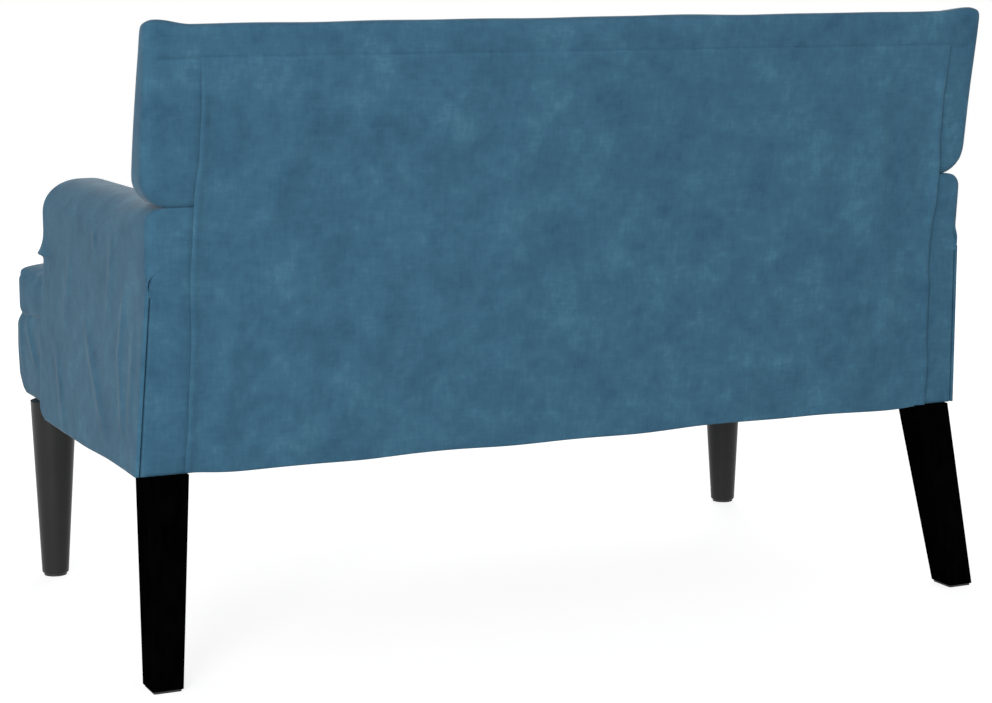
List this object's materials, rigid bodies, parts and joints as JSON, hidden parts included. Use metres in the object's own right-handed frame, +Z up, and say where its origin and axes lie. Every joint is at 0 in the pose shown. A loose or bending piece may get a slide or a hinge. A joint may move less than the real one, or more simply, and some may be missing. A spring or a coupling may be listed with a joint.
{
  "type": "upholstered bench",
  "caption": "Blue velvet bench seat with low arms, a T-shaped tufted back, a crowned T-shaped cushion and tapered black wooden legs.",
  "frame": {"origin": "on the floor, under the middle of the bench's overall box", "axes": "+X to the sitter's left, +Y to the rear, +Z up"},
  "size_m": [1.132, 0.6752, 0.7602],
  "materials": {
    "velvet": "short-pile blue velvet with a cloudy nap",
    "foam": "open-cell upholstery foam",
    "felt": "needled felt",
    "dust_cloth": "black spunbond cloth",
    "webbing": "woven tape and cord",
    "pine": "planed softwood",
    "plywood": "sanded plywood",
    "hardboard": "smooth hardboard",
    "black_lacquer": "black satin lacquer",
    "zinc_steel": "zinc plated",
    "nylon": "black nylon"
  },
  "bodies": {
    "root": {"apron_cover": "velvet", "apron_pad": "foam", "back_bottom_rail": "pine", "back_cover": "velvet", "back_foam": "foam", "back_middle_rail": "pine", "back_top_rail": "pine", "back_wing_frames": "pine", "bolt_washers": "zinc_steel", "centre_stretcher": "pine", "corner_blocks": "pine", "dust_cover": "dust_cloth", "flap_strips": "webbing", "frame_bolts": "zinc_steel", "frame_dowels": "pine", "frame_t_nuts": "zinc_steel", "front_seat_rail": "pine", "left_arm_bottom_rail": "pine", "left_arm_cover": "velvet", "left_arm_foam": "foam", "left_arm_front_post": "pine", "left_arm_inner_panel": "plywood", "left_arm_rear_post": "pine", "left_arm_top_board": "pine", "left_back_stile": "pine", "left_front_leg": "black_lacquer", "left_outer_panel_board": "hardboard", "left_outer_panel_cover": "velvet", "left_rear_leg": "black_lacquer", "left_seat_rail": "pine", "leg_bolts": "zinc_steel", "leg_glides": "nylon", "leg_insert_nuts": "zinc_steel", "leg_plates": "zinc_steel", "rear_flap": "velvet", "rear_leg_blocks": "pine", "rear_seat_rail": "pine", "right_arm_bottom_rail": "pine", "right_arm_cover": "velvet", "right_arm_foam": "foam", "right_arm_front_post": "pine", "right_arm_inner_panel": "plywood", "right_arm_rear_post": "pine", "right_arm_top_board": "pine", "right_back_stile": "pine", "right_front_leg": "black_lacquer", "right_outer_panel_board": "hardboard", "right_outer_panel_cover": "velvet", "right_rear_leg": "black_lacquer", "right_seat_rail": "pine", "seat_cover": "velvet", "seat_foam": "foam", "seat_springs": "zinc_steel", "spring_clips": "nylon", "spring_felt": "felt", "tuft_buttons": "velvet", "tuft_cords": "webbing", "tufting_board": "plywood"}
  },
  "joints": []
}
